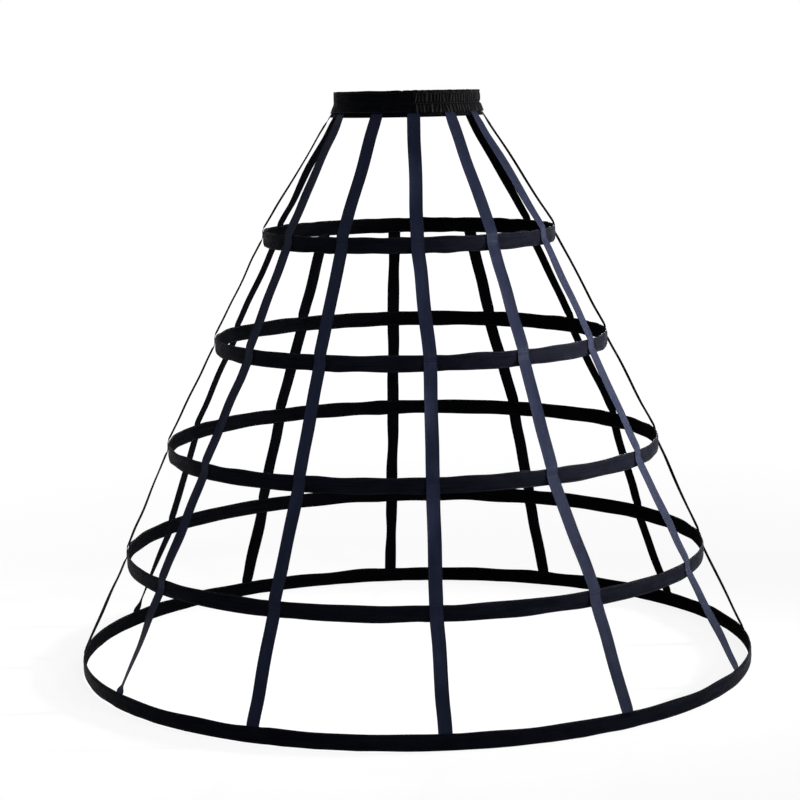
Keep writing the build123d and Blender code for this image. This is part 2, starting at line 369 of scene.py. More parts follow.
CASING = woven(
    "casing_ribbon", dark=(0.0021, 0.0023, 0.0041), light=(0.0060, 0.0065, 0.0105), pitch=0.55,
    streak=CASING_STREAK, rough=0.36, specular=0.003, sheen=0.006, tint=(0.66, 0.68, 1.0),
)
# A darker, duller copy of the casing ribbon for its inner faces: painted shade
CASING_SHADED_BACK = woven(
    "casing_ribbon_reverse_painted_shade", dark=(0.0008, 0.0009, 0.0012), light=(0.0022, 0.0023, 0.0030), pitch=0.55,
    streak=CASING_STREAK, rough=0.7, specular=0.0015,
)
TAPE = woven(
    "tape_ribbon", dark=(0.0072, 0.0092, 0.0208), light=(0.0128, 0.0157, 0.0322), streak=TAPE_STREAK,
    rough=0.42, specular=0.022, sheen=0.006, tint=(0.78, 0.80, 1.0), selvedge=(0.0020, 0.0024, 0.0062),
)
# A darker, duller copy of the tape ribbon for its inner faces: painted shade
TAPE_SHADED_BACK = woven(
    "tape_ribbon_reverse_painted_shade", dark=(0.0012, 0.0013, 0.0019), light=(0.0030, 0.0032, 0.0044), streak=TAPE_STREAK,
    rough=0.75, specular=0.004, selvedge=(0.0010, 0.0011, 0.0016),
)
WAIST = woven(
    "waist_cloth", dark=(0.0010, 0.0011, 0.0015), light=(0.0028, 0.0030, 0.0042), pitch=0.6,
    streak=(60.0, 300.0, 1.0), rough=0.6, specular=0.01, sheen=0.004, tint=(0.7, 0.7, 0.9),
)
# The gathered cloth: its crests take a pale colour, a painted highlight
GATHER = woven(
    "gathered_cloth", dark=(0.0010, 0.0010, 0.0012), light=(0.0030, 0.0030, 0.0034),
    streak=(500.0, 60.0, 1.0), rough=0.56, specular=0.010, sheen=0.004, tint=(0.88, 0.88, 0.96),
    crest_highlight=(0.0180, 0.0178, 0.0184),
)
THREAD = solid(
    "thread", dark=(0.0030, 0.0030, 0.0042), light=(0.0085, 0.0085, 0.0120), rough=0.6, specular=0.25,
    scale=(900.0, 900.0, 900.0),
)
STRIP = solid(
    "strip_plastic", dark=(0.70, 0.70, 0.67), light=(0.82, 0.82, 0.79), rough=0.45, specular=0.4,
    scale=(60.0, 60.0, 900.0),
)
STEEL = solid(
    "sleeve_steel", dark=(0.48, 0.48, 0.50), light=(0.62, 0.62, 0.64), rough=0.35, specular=0.5,
    scale=(40.0, 40.0, 1400.0), metal=1.0, distance=0.00003,
)
ELASTIC = solid(
    "elastic_web", dark=(0.035, 0.035, 0.036), light=(0.06, 0.06, 0.062), rough=0.8, specular=0.2,
    scale=(900.0, 900.0, 900.0), distance=0.0002,
)


def tape_angle(tape, place):
    """Angle of a tape at the waist (place 0) or at a hoop."""
    return FRONT + tape * TAPE_PITCH + TAPE_SWAYS[tape][place]


def angle_gap(angle, other):
    """Smallest difference of two angles, in degrees."""
    return np.abs((np.asarray(angle) - other + 180.0) % 360.0 - 180.0)


# Hoop casings. Half a section, from the lower edge to the middle: height above the edge, and the cloth's
# stand-out from the middle of its depth, first as sewn, then over the sleeve that joins the strip's ends.
SKIN_HEIGHTS = np.array((0.0, 0.12, 0.6, 1.4, 1.95, 2.5, 3.4, 5.5, 8.5, 11.5))
SKIN_SEWN = np.array((0.25, 0.55, 0.74, 0.56, 0.88, 1.28, 1.55, 1.68, 1.70, 1.70))
SKIN_JOINED = np.array((0.25, 0.60, 0.85, 0.85, 1.40, 1.66, 1.70, 1.72, 1.72, 1.72))
CHANNEL_HEIGHTS = np.array((2.1, 2.35, 2.8, 3.6, 5.5, 11.5))
CHANNEL_SEWN = np.array((0.08, 0.42, 0.80, 1.03, 1.12, 1.13))
CHANNEL_JOINED = np.array((0.08, 0.85, 1.10, 1.12, 1.14, 1.14))
SEGMENT = 4.0
# Lengths from a tape in which the ribbon comes free, and from a sleeve's end in which its bulge goes
CASING_FREE, SLEEVE_FADE = (10.0, 26.0), (1.0, 10.0)
# Slack of the edges: its reach, waves up and down, leaning in and out, and what a tape leaves of both
EDGE_REACH = 0.3, 3.6
EDGE_WAVE, HEM_WAVE, HELD_WAVE = 0.42, 0.25, 0.3
UPPER_LEAN, LOWER_LEAN, HELD_LEAN, LEAN_TURN = 0.3, -0.25, 0.35, 1.0
# Puckers: where they come from an edge, how far they stand out, their most and their slant
PUCKER_REACH = 0.8, 4.0
PUCKER_SWELL, PUCKER_MOST, PUCKER_SLANT = 0.2, 2.2, 0.004
# Stitch rows: height above the edge, pitch, lift, and a stitch's length, width and height
STITCH_HEIGHT, STITCH_PITCH, STITCH_LIFT = 1.4, 3.7, 0.06
CASING_STITCH = 2.9, 0.55, 0.42
# Slots in the hem: lengths from a tape in which one closes and from which the outside is sewn; how far down
# the cloth gives way, its stand-outs there, and how flat it lies inside
SLOT_ENDS, SLOT_SEWN = (9.4, 11.6), 12.5
SLOT_REACH, SLOT_OUTSIDE, SLOT_INSIDE = 3.0, 1.55, -0.02
SLOT_FLAT, SLOT_BACK = 0.8, 0.1
# Lips that go down into a slot: stand-out where it is shut and where it is open, and depth there
SLOT_LIPS = ((0.12, 1.12, 0.0), (0.05, 1.10, 2.2), (-0.05, 0.20, 2.2), (-0.12, 0.12, 0.0))
LIP_DROP = 0.03


class Casing:
    """One hoop's cloth: where its skin is, with the slack that the ribbon has."""

    def __init__(self, number):
        self.number = number
        self.diameter, self.height, self.depth = HOOPS[number - 1]
        self.scale = self.depth / 2 / CASING_HALF_DEPTH
        self.middle = self.diameter / 2 - self.depth / 2
        self.low_edge = ring_waves(100 + number, 8, 34, 9)
        self.high_edge = ring_waves(200 + number, 8, 34, 9)
        self.lean = ring_waves(300 + number, 10, 40, 8)
        self.pucker = ring_waves(400 + number, 30, 150, 16)
        self.pucker_two = ring_waves(500 + number, 30, 150, 16)
        self.tapes = [tape_angle(tape, number) for tape in range(TAPES)]

    def tape_gap(self, angle):
        """Length round the hoop to the middle of the nearest tape."""
        gap = np.min([angle_gap(angle, tape) for tape in self.tapes], axis=0)
        return np.radians(gap) * self.diameter / 2

    def joined(self, angle):
        """1 over the sleeve, 0 away from it."""
        gap = np.radians(angle_gap(angle, JOINT_ANGLE)) * self.diameter / 2
        start, end = (SLEEVE_LENGTH / 2 + past for past in SLEEVE_FADE)
        return 1 - smooth_step(gap, start, end)

    def skin(self, angle, height, stand, side):
        """Points (mm) at an angle, a height in the section and a stand-out to a side, 1 out or -1 in."""
        turn = np.radians(angle)
        free = smooth_step(self.tape_gap(angle), *CASING_FREE)
        upper = height > CASING_HEIGHT / 2
        edge = np.minimum(height, CASING_HEIGHT - height)
        at_edge = 1 - smooth_step(edge, *EDGE_REACH)
        low = self.low_edge(turn)
        low = HEM_WAVE * np.abs(low) if self.number == HEM else EDGE_WAVE * low
        shift = np.where(upper, EDGE_WAVE * self.high_edge(turn), low)
        lean = np.where(upper, UPPER_LEAN * self.lean(turn), LOWER_LEAN * self.lean(turn + LEAN_TURN))
        share = np.clip(height / CASING_HEIGHT, 0, 1)
        slant = PUCKER_SLANT * height
        wrinkle = (1 - share) * self.pucker(turn + slant) + share * self.pucker_two(turn - slant)
        swell = PUCKER_SWELL * np.clip(wrinkle, 0, PUCKER_MOST) * free * smooth_step(edge, *PUCKER_REACH)
        lean_left = at_edge * lean * (HELD_LEAN + (1 - HELD_LEAN) * free)
        radius = self.middle + side * stand * self.scale + side * swell + lean_left
        rise = self.height + height + at_edge * shift * (HELD_WAVE + (1 - HELD_WAVE) * free)
        return np.stack([radius * np.cos(turn), radius * np.sin(turn), np.maximum(rise, 0.0)], -1)


def section(heights, sewn, joined, share):
    """Heights, stand-outs and sides of a section for each share of the join, up outside and down inside."""
    stand = sewn + (joined - sewn) * share[:, None]
    up = np.concatenate([heights, CASING_HEIGHT - heights[-2::-1]])
    out = np.concatenate([stand, stand[:, -2::-1]], 1)
    loop = np.concatenate([up, up[::-1]])
    return loop, np.concatenate([out, out[:, ::-1]], 1), np.concatenate([np.ones(len(up)), -np.ones(len(up))])


def open_slots(hoop, angles, loop, stand, side):
    """Adds to the hem's section the slots in its upper edge, in which the tapes end."""
    inside = 1 - smooth_step(hoop.tape_gap(angles), *SLOT_ENDS)
    top = len(loop) // 2
    rows = len(angles)
    heights = np.broadcast_to(loop, (rows, len(loop))).copy()
    stand = stand * side
    upper = heights > CASING_HEIGHT - SLOT_REACH
    outer = np.maximum(SLOT_OUTSIDE, stand[:, :top])
    stand[:, :top] += (outer - stand[:, :top]) * inside[:, None] * upper[:, :top]
    inner = np.minimum(stand[:, top:], SLOT_INSIDE) * SLOT_FLAT - SLOT_BACK
    stand[:, top:] += (inner - stand[:, top:]) * inside[:, None] * upper[:, top:]
    lip = np.zeros((rows, len(SLOT_LIPS)))
    lip_height = np.full((rows, len(SLOT_LIPS)), CASING_HEIGHT - LIP_DROP)
    for column, (shut, opened, deep) in enumerate(SLOT_LIPS):
        lip[:, column] = shut + (opened - shut) * inside
        lip_height[:, column] -= deep * inside
    heights = np.concatenate([heights[:, :top], lip_height, heights[:, top:]], 1)
    stand = np.concatenate([stand[:, :top], lip, stand[:, top:]], 1)
    return heights, stand, np.ones_like(stand)


def make_casing_stitches(hoop):
    """Two rows of stitches on the outside of a casing and two on its inside."""
    cloth = Cloth()
    count = int(math.pi * hoop.diameter / STITCH_PITCH)
    angles = (np.arange(count) + 0.5) * 360.0 / count
    sewn, joined = (np.interp(STITCH_HEIGHT, SKIN_HEIGHTS, stands) for stands in (SKIN_SEWN, SKIN_JOINED))
    stand = sewn + (joined - sewn) * hoop.joined(angles)
    along, radial = ring_axes(angles)
    for height in (STITCH_HEIGHT, CASING_HEIGHT - STITCH_HEIGHT):
        for side in (1.0, -1.0):
            keep = np.ones(count, bool)
            if hoop.number == HEM and height > CASING_HEIGHT / 2 and side > 0:
                keep = hoop.tape_gap(angles) > SLOT_SEWN
            centres = hoop.skin(angles, np.full(count, height), stand, side)[keep]
            out = radial[keep] * side
            add_stitches(cloth, centres + out * STITCH_LIFT, along[keep], out, *CASING_STITCH)
    return cloth.piece(f"hoop_{hoop.number}_stitching", THREAD)


def make_casing(number):
    """The ribbon tube of a hoop, hollow, with its stitch rows."""
    hoop = Casing(number)
    count = int(round(math.pi * hoop.diameter / SEGMENT / TAPES)) * TAPES
    angles = np.arange(count) * 360.0 / count
    share = hoop.joined(angles)
    cloth = Cloth()
    lengths = np.arange(count + 1) * math.pi * hoop.diameter / count
    for heights, sewn, joined, flip in (
        (SKIN_HEIGHTS, SKIN_SEWN, SKIN_JOINED, False),
        (CHANNEL_HEIGHTS, CHANNEL_SEWN, CHANNEL_JOINED, True),
    ):
        loop, stand, side = section(heights, sewn, joined, share)
        if number == HEM and not flip:
            loop, stand, side = open_slots(hoop, angles, loop, stand, side)
        loop, side = np.broadcast_to(loop, stand.shape), np.broadcast_to(side, stand.shape)
        points = hoop.skin(angles[:, None], loop, stand, side)
        across = lengths_along(np.concatenate([points[0], points[0][:1]]))
        # The inner faces take the darker copy of the ribbon, painted shade
        shaded_reverse = np.arange(len(across) - 1) >= (len(across) - 1) // 2
        uvs = length_uvs(lengths, across)
        cloth.patch(points, uvs, close_u=True, close_v=True, flip=flip, slots=shaded_reverse.astype(int))
    piece = cloth.piece(f"hoop_{number}_ribbon", CASING, CASING_SHADED_BACK)
    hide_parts(f"hoop_{number}_casing")
    stitching = make_casing_stitches(hoop)
    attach(piece, "root")
    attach(stitching, "root")


for hoop_number in range(1, HEM + 1):
    make_casing(hoop_number)
    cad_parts[f"hoop_{hoop_number}_boning"].data.materials[0] = STRIP
    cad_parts[f"hoop_{hoop_number}_sleeve"].data.materials[0] = STEEL


# Tapes
def band_radius_at(radius, height):
    """Radius at a height of a waistband's layer that has the given radius in the upper row."""
    flare = np.maximum(ROW_SPLIT - np.maximum(height, TAPE_BEND), 0) * FLARE_SLOPE
    return radius + flare + np.maximum(TAPE_BEND - height, 0) * RUN_SLOPE


def tape_stations(tape):
    """Corners of a tape's inner face, as points, with the place where each is sewn on."""
    run = [(band_radius_at(TAPE_WAIST_RADIUS, height), height, 0) for height in (TAPE_END, TAPE_BEND)]
    for place, (diameter, height, _) in enumerate(HOOPS[:-1], start=1):
        face = diameter / 2 + LAY_GAP
        top = height + CASING_HEIGHT
        run += [(face, top, place), (face, top - TAPE_HOLD_SHARE * CASING_HEIGHT, place)]
    run += [(TAPE_HEM_RADIUS, height, HEM) for height in (CASING_HEIGHT, CASING_HEIGHT - HEM_TUCK)]
    run = [stop for stop in run if stop[2] >= TAPE_STARTS[tape]]
    turns = [math.radians(tape_angle(tape, place)) for _, _, place in run]
    points = np.array([(r * math.cos(t), r * math.sin(t), z) for (r, z, _), t in zip(run, turns)])
    return points, [place for _, _, place in run]


# Bends of a tape: reach, most share of the length to the next bend, and number of points
BEND_REACH, BEND_SHARE, BEND_POINTS = 4.0, 0.45, 9
TAPE_STEP = 3.0
# Across a tape: place across its width, and half its thickness there; the selvedges are thicker
TAPE_ACROSS = np.array((-9.5, -9.4, -9.1, -8.7, -8.2, -6.0, -3.0, 0.0, 3.0, 6.0, 8.2, 8.7, 9.1, 9.4, 9.5))
TAPE_HALF = np.array(
    (0.10, 0.30, 0.40, 0.36, 0.27, 0.29, 0.30, 0.30, 0.30, 0.29, 0.27, 0.36, 0.40, 0.30, 0.10)
)
# Slack of a tape: lengths in which it comes free, how far it strays, bows out and sags in, its roll in
# degrees, and a turned tape's share of that
TAPE_FREE = 6.0, 45.0
TAPE_STRAY, TAPE_BOW, TAPE_SAG = 0.35, 0.5, 0.3
TAPE_ROLL, TURNED_ROLL = 3.0, 0.3
# Curl of its edges: uneven and even part, and the middle's share the other way
TAPE_CURL, TAPE_CUP, CUP_MIDDLE = 0.35, 0.25, 0.4
# Lengths from the waistband in which a tape begins to turn, and from a hoop in which it comes level
WAIST_HOLD, HOOP_HOLD = (7, 22), 7
# Twists of slack tapes, by number: the place before, the peak's share of the way to the next one, and its
# degrees; then how far a twist keeps clear of both places
TWISTS = {
    3: ((0, 0.5, 8.0), (3, 0.5, 5.0), (4, 0.5, 9.0)),
    5: ((0, 0.5, -5.0),),
    7: ((1, 0.5, 32.0), (2, 0.5, 30.0), (3, 0.5, 30.0), (4, 0.5, 32.0)),
    8: ((4, 0.45, 24.0),),
    9: ((0, 0.5, 6.0), (4, 0.86, -22.0)),
    10: ((4, 0.55, 7.0),),
    11: ((3, 0.5, -6.0), (4, 0.92, 26.0)),
}
TWIST_AFTER, TWIST_BEFORE = 4, 2
# Tapes, by number, that lie turned by some degrees all the way between their hoops, and hardly roll
LEANS = {2: 5.0, 3: 5.0, 4: -4.0, 5: -6.0, 6: -8.0, 8: 9.0, 9: 4.0, 10: 9.0, 11: -5.0, 12: -3.0}
# Rows that sew a tape on: depth below the casing's edge, reach, number, lift and sizes of the stitches
TAPE_ROWS = 1.8, 10.0
ROW_REACH, ROW_STITCHES, ROW_LIFT = 7.6, 7, 0.36
TAPE_STITCH = 2.1, 0.5, 0.4


def rounded_run(points):
    """The corners' line with each bend rounded, as closely spaced points."""
    line = [points[0]]
    for before, at, after in zip(points, points[1:], points[2:]):
        back, ahead = before - at, after - at
        step = min(BEND_REACH, BEND_SHARE * np.linalg.norm(back), BEND_SHARE * np.linalg.norm(ahead))
        first, last = at + back / np.linalg.norm(back) * step, at + ahead / np.linalg.norm(ahead) * step
        for t in np.linspace(0, 1, BEND_POINTS):
            line.append((1 - t) ** 2 * first + 2 * t * (1 - t) * at + t * t * last)
    line.append(points[-1])
    return np.array(line)


def tape_axes(path):
    """Directions across a tape and out of it at each point of its path."""
    ahead = unit(np.gradient(path, axis=0))
    turn = np.arctan2(path[:, 1], path[:, 0])
    wide = np.stack([-np.sin(turn), np.cos(turn), np.zeros(len(turn))], -1)
    wide = unit(wide - (wide * ahead).sum(-1, keepdims=True) * ahead)
    out = np.cross(wide, ahead)
    out *= np.sign((out[:, 0] * np.cos(turn) + out[:, 1] * np.sin(turn)))[:, None]
    return wide, out


def tape_holds(tape, spots, marks, places):
    """At each spot along a tape: how free it is, how far it is held level, and its curve on a hoop."""
    free = np.ones(len(spots))
    for mark in marks:
        free = np.minimum(free, smooth_step(np.abs(spots - mark), *TAPE_FREE))
    hold = np.zeros(len(spots))
    if TAPE_STARTS[tape] == 0:
        held_to, free_from = (marks[1] + past for past in WAIST_HOLD)
        hold = 1 - smooth_step(spots, held_to, free_from)
    curve = np.zeros(len(spots))
    for place in range(1, HEM + 1):
        first, last = (marks[k] for k in range(len(places)) if places[k] == place)
        on = window(spots, first - HOOP_HOLD, first, last, last + HOOP_HOLD)
        hold = np.maximum(hold, on)
        curve = np.maximum(curve, on / HOOPS[place - 1][0])
    return free, hold, curve


def tape_twist(tape, spots, marks, places, free, hold):
    """Turn of a tape about its own line at each spot, in radians."""
    roll = run_waves(950 + tape, 90, 300, 4)(spots)
    twist = np.radians(TAPE_ROLL) * roll * free
    if tape + 1 in LEANS:
        twist = TURNED_ROLL * twist + math.radians(LEANS[tape + 1]) * (1 - hold)
    for place, share, degrees in TWISTS.get(tape + 1, ()):
        start = max(mark for mark, at in zip(marks, places) if at == place)
        end = min(mark for mark, at in zip(marks, places) if at == place + 1)
        peak = start + share * (end - start)
        turned = window(spots, start + TWIST_AFTER, peak, peak, end - TWIST_BEFORE)
        twist = twist + math.radians(degrees) * turned
    return twist


def make_tape_stitches(tape, path, wide, out, curve):
    """Rows of stitches that sew a tape onto the hoops above the hem."""
    stitching = Cloth()
    shift = np.linspace(-ROW_REACH, ROW_REACH, ROW_STITCHES)
    for place in range(max(TAPE_STARTS[tape], 1), HEM):
        for drop in TAPE_ROWS:
            at = int(np.argmin(np.abs(path[:, 2] - (HOOPS[place - 1][1] + CASING_HEIGHT - drop))))
            lift = ROW_LIFT - curve[at] * shift ** 2
            centres = path[at] + wide[at] * shift[:, None] + out[at] * lift[:, None]
            along, up = (np.tile(axis[at], (ROW_STITCHES, 1)) for axis in (wide, out))
            add_stitches(stitching, centres, along, up, *TAPE_STITCH)
    return stitching.piece(f"tape_{tape + 1:02d}_stitching", THREAD)


def make_tape(tape):
    """One ribbon tape, laid over the hoops down to the hem."""
    stations, places = tape_stations(tape)
    line = rounded_run(stations)
    along = lengths_along(line)
    spots = np.linspace(0, along[-1], int(along[-1] / TAPE_STEP))
    path = np.stack([np.interp(spots, along, line[:, axis]) for axis in range(3)], -1)
    marks = lengths_along(stations) * along[-1] / lengths_along(stations)[-1]
    wide, out = tape_axes(path)
    free, hold, curve = tape_holds(tape, spots, marks, places)
    sway = run_waves(700 + tape, 90, 260, 5)(spots)
    bow = run_waves(800 + tape, 70, 220, 5)(spots)
    curl = run_waves(900 + tape, 120, 400, 4)(spots)
    aside = TAPE_STRAY * sway * free
    stand = (TAPE_BOW * bow - TAPE_SAG) * free + TAPE_THICKNESS / 2
    path = path + wide * aside[:, None] + out * stand[:, None]
    twist = tape_twist(tape, spots, marks, places, free, hold)
    cos, sin = np.cos(twist)[:, None], np.sin(twist)[:, None]
    wide, out = wide * cos + out * sin, out * cos - wide * sin
    cup = (TAPE_CURL * curl + TAPE_CUP) * free
    across = np.concatenate([TAPE_ACROSS, TAPE_ACROSS[::-1]])
    half = np.concatenate([TAPE_HALF, -TAPE_HALF[::-1]])
    arch = (across / (TAPE_WIDTH / 2)) ** 2 - CUP_MIDDLE
    dish = cup[:, None] * arch - curve[:, None] * across ** 2 + half
    points = path[:, None] + wide[:, None] * across[:, None] + out[:, None] * dish[..., None]
    cloth = Cloth()
    widths = np.concatenate([across, across[:1]])
    # The inner faces take the darker copy of the ribbon, painted shade
    shaded_reverse = np.arange(len(across)) >= len(TAPE_ACROSS) - 1
    rows = cloth.patch(points, length_uvs(spots, widths), close_v=True, slots=shaded_reverse.astype(int))
    cloth.caps(rows, [np.stack([np.full(len(across), spots[at]), across], -1) for at in (0, -1)])
    sewn = make_tape_stitches(tape, path, wide, out, curve)
    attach(sewn, "root")
    piece = cloth.piece(f"tape_{tape + 1:02d}_ribbon", TAPE, TAPE_SHADED_BACK)
    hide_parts(f"tape_{tape + 1:02d}")
    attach(piece, "root")


for tape_index in range(TAPES):
    make_tape(tape_index)


# Waistband. Rows of points up the outside of each half and down the lining; the top of its slot; the top
# fold's inset, drop and share of the gathers; how far down the edge's waves reach; and columns round a half.
PLAIN_ROWS = np.array(
    (BAND_EDGE, BAND_EDGE + 0.3, 815.0, 815.8, 816.6, 818.0, 820.5, 823.5, ROW_SPLIT,
     830.0, 834.0, 838.0, 841.0, 841.8, 842.4, 843.2, BAND_TOP - 0.5)
)
GATHER_ROWS = np.concatenate(
    [np.linspace(BAND_EDGE, ROW_SPLIT, 20), np.linspace(ROW_SPLIT + 0.7, BAND_TOP - 0.4, 26)]
)
LINING_ROWS = BAND_TOP - 0.5, 838.0, 832.0, ROW_SPLIT, 822.0, TAPE_BEND, BAND_BOTTOM
BAND_SLOT_TOP = BAND_TOP - 0.75
TOP_INSET, TOP_DROP, TOP_SHARE = 0.25, 0.05, 0.4
TOP_REACH = 3
PLAIN_COLUMNS, GATHER_COLUMNS = 121, 601
# Dip of the top edge at a seam: depth and reach
SEAM_DIP, SEAM_REACH = -0.9, (0.3, 4.5)
# The plain half: waves out and up, push of a tape's end, draw of a stitch row; the push's reach in degrees
# and in height; and the stitch rows and their width
PLAIN_WAVE, PLAIN_LIFT, TAPE_PUSH, ROW_DRAW = 0.22, 0.15, 0.3, 0.3
PUSH_ANGLES, PUSH_HEIGHTS = (4.6, 6.2), (5, 9)
PLAIN_SEAMS, ROW_WIDTH = (BAND_EDGE + 1.8, BAND_TOP - 2.2), 0.7
PLAIN_OUT = ring_waves(31, 6, 30, 8)
PLAIN_RISE = ring_waves(32, 4, 18, 6)
# The gathered half: folds in the upper row, the lower row's share of these, their height and the cloth's
# least, their drift along the row and their sharpness
GATHERS, LOWER_SHARE = 62.0, 0.93
GATHER_HIGH, GATHER_LEAST = 1.05, 0.4
FOLD_DRIFT, FOLD_POWER = 1.1, 1.3
# Lean of the folds in each row; the ripple's size and rate, and its start and lean in each row
HIGH_LEAN, LOW_LEAN = 0.16, 0.20
RIPPLE_SIZE, RIPPLE_RATE = 0.22, 2.1
HIGH_RIPPLE, LOW_RIPPLE = (1.0, 0.3), (2.0, -0.3)
# Size and unevenness of a fold; how much further the lower edge stands out at the side, and how far up
FOLD_SIZE, FOLD_UNEVEN = 0.85, 0.22
RUFFLE, RUFFLE_REACH = 0.25, 7
# The roll on top: start, stand-out, wave with every second fold, and unevenness
ROLL_START = BAND_TOP - 3.4
ROLL_OUT, ROLL_WAVE, ROLL_PHASE, ROLL_UNEVEN, ROLL_TURN = 0.45, 0.2, 0.7, 0.12, 0.2
# Unevenness and wave of the top edge, and degrees from a seam in which the gathers come
EDGE_UNEVEN, EDGE_RIPPLE = 0.1, 0.12
SEAM_ANGLES = 0.3, 1.8
GATHER_SEAMS = ROW_SPLIT, BAND_TOP - 3.6
# Stitches of the waistband: places in a row, lift and sizes
BAND_STITCHES, BAND_LIFT = 102, 0.08
BAND_STITCH = 2.5, 0.5, 0.4
# Elastics: step across, columns, half thickness and that of the edges, ribs, crimp, degrees left at an end
ELASTIC_STEP, ELASTIC_COLUMNS = 0.375, 160
ELASTIC_HALF, ELASTIC_EDGE = 0.5, 0.25
RIB_HEIGHT, RIB_PITCH, CRIMP = 0.09, 1.5, 0.04
ELASTIC_END = 0.4


def band_loop(outer_rows):
    """Section of the waistband as a closed loop of (layer radius, height, share of the folds)."""
    up = [(BAND_RADIUS, height, 1.0) for height in outer_rows]
    fold = [(BAND_RADIUS - TOP_INSET, BAND_TOP - TOP_DROP, TOP_SHARE),
            ((BAND_RADIUS + WAIST_RADIUS) / 2, BAND_TOP, 0.0),
            (WAIST_RADIUS + TOP_INSET, BAND_TOP - TOP_DROP, 0.0)]
    down = [(WAIST_RADIUS, height, 0.0) for height in LINING_ROWS]
    edge = [(SLOT_INNER, height, 0.0) for height in (BAND_BOTTOM, TAPE_BEND, ROW_SPLIT, BAND_SLOT_TOP)]
    back = [(SLOT_OUTER, height, 0.0) for height in (BAND_SLOT_TOP, ROW_SPLIT, BAND_EDGE + 0.1)]
    return np.array(up + fold + down + edge + back)


def make_band(name, node_name, start, columns, outer_rows, stand, material):
    """Half of the waistband from an angle on, its outer side standing out by a function."""
    loop = band_loop(outer_rows)
    angles = np.linspace(start, start + 180.0, columns)
    radius, height, side = loop[:, 0], loop[:, 1], loop[:, 2]
    out, rise = stand(angles[:, None], height[None, :])
    radii = band_radius_at(radius, height)[None, :] + out * side
    heights = height[None, :] + rise * (height > BAND_TOP - TOP_REACH)
    points = ring_points(radii, angles, heights)
    cloth = Cloth()
    # Height of the folds, which the gathered cloth's painted highlight on the crests follows
    cloth.folds = np.broadcast_to(np.clip(out / (GATHER_HIGH + GATHER_LEAST), 0, 1) * side, radii.shape)
    mean = np.concatenate([loop[:, :2], loop[:1, :2]])
    across = lengths_along(np.stack([band_radius_at(mean[:, 0], mean[:, 1]), mean[:, 1]], -1))
    lining = (np.arange(len(loop)) > len(outer_rows)).astype(int)
    uvs = length_uvs(np.radians(angles - start) * BAND_RADIUS, across)
    rows = cloth.patch(points, uvs, close_v=True, slots=lining)
    cloth.caps(rows, [np.stack([points[at][:, 2], across[:-1]], -1) for at in (0, -1)])
    piece = cloth.piece(name, material, WAIST)
    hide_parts(node_name)
    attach(piece, "root")


def seam_gap(angle):
    """Angle to the nearer one of the seams in front and at the back."""
    return np.minimum(angle_gap(angle, FRONT), angle_gap(angle, BACK))


def seam_dip(angle):
    """How far the top edge dips at the seams."""
    return SEAM_DIP * (1 - smooth_step(np.radians(seam_gap(angle)) * BAND_RADIUS, *SEAM_REACH))


def plain_stand(angle, height):
    """The plain half: nearly smooth, pushed out by the tapes' ends and drawn in at its stitch rows."""
    turn = np.radians(angle)
    tapes = sum(1 - smooth_step(angle_gap(angle, tape_angle(tape, 0)), *PUSH_ANGLES) for tape in range(TAPES))
    push_low, push_high = (BAND_EDGE + above for above in PUSH_HEIGHTS)
    low = 1 - smooth_step(height, push_low, push_high)
    rows = sum(np.exp(-((height - row) / ROW_WIDTH) ** 2) for row in PLAIN_SEAMS)
    out = PLAIN_WAVE * PLAIN_OUT(turn) + TAPE_PUSH * tapes * low - ROW_DRAW * rows
    return out, PLAIN_LIFT * PLAIN_RISE(turn) + seam_dip(angle)


def gather_folds(count, drift, slant, above, lean, ripple):
    """Phase and shape of one row's folds, by their count so far and the height above the row's middle."""
    start, ripple_lean = ripple
    wave = 2 * math.pi * count + FOLD_DRIFT * drift + lean * slant * above
    ripples = RIPPLE_SIZE * np.cos(RIPPLE_RATE * wave + start + ripple_lean * above)
    return wave, (0.5 + 0.5 * np.cos(wave)) ** FOLD_POWER + ripples


def gather_rows(angle, height):
    """The gathered half: two rows of uneven folds, parted by the stitch line, with a roll on top."""
    turn = np.radians(angle)
    drift_high, drift_low = ring_waves(41, 5, 28, 10), ring_waves(42, 5, 28, 10)
    size_high, size_low = ring_waves(43, 20, 70, 12), ring_waves(44, 20, 70, 12)
    slant_high, slant_low = ring_waves(45, 8, 40, 10), ring_waves(46, 8, 40, 10)
    place = (angle - FRONT) / 180.0
    above_high, above_low = height - (ROW_SPLIT + ROLL_START) / 2, height - (ROW_SPLIT + BAND_EDGE) / 2
    wave_high, fold_high = gather_folds(
        GATHERS * place, drift_high(turn), slant_high(turn), above_high, HIGH_LEAN, HIGH_RIPPLE)
    _, fold_low = gather_folds(
        GATHERS * LOWER_SHARE * place, drift_low(turn), slant_low(turn), above_low, LOW_LEAN, LOW_RIPPLE)
    high_share = window(height, ROW_SPLIT + 0.2, ROW_SPLIT + 3.0, ROLL_START - 2.2, ROLL_START)
    low_share = 1 - smooth_step(height, ROW_SPLIT - 3.0, ROW_SPLIT - 0.2)
    to_side = np.cos(turn) ** 2
    ruffle = 1 + RUFFLE * to_side * (1 - smooth_step(height, BAND_EDGE, BAND_EDGE + RUFFLE_REACH))
    uneven_high, uneven_low = (FOLD_SIZE + FOLD_UNEVEN * size(turn) for size in (size_high, size_low))
    out = GATHER_LEAST + GATHER_HIGH * high_share * fold_high * uneven_high
    out = out + GATHER_HIGH * low_share * fold_low * uneven_low * ruffle
    roll = window(height, ROLL_START - 0.4, ROLL_START + 1.0, BAND_TOP - 1.0, BAND_TOP)
    roll_wave = ROLL_WAVE * np.cos(wave_high * 0.5 + ROLL_PHASE)
    out = out + roll * (ROLL_OUT + roll_wave + ROLL_UNEVEN * size_high(turn + ROLL_TURN))
    edge = smooth_step(seam_gap(angle), *SEAM_ANGLES)
    rise = EDGE_UNEVEN * size_low(turn) + EDGE_RIPPLE * np.cos(wave_high * 0.5)
    return np.maximum(out, 0.0) * edge, rise * edge + seam_dip(angle)


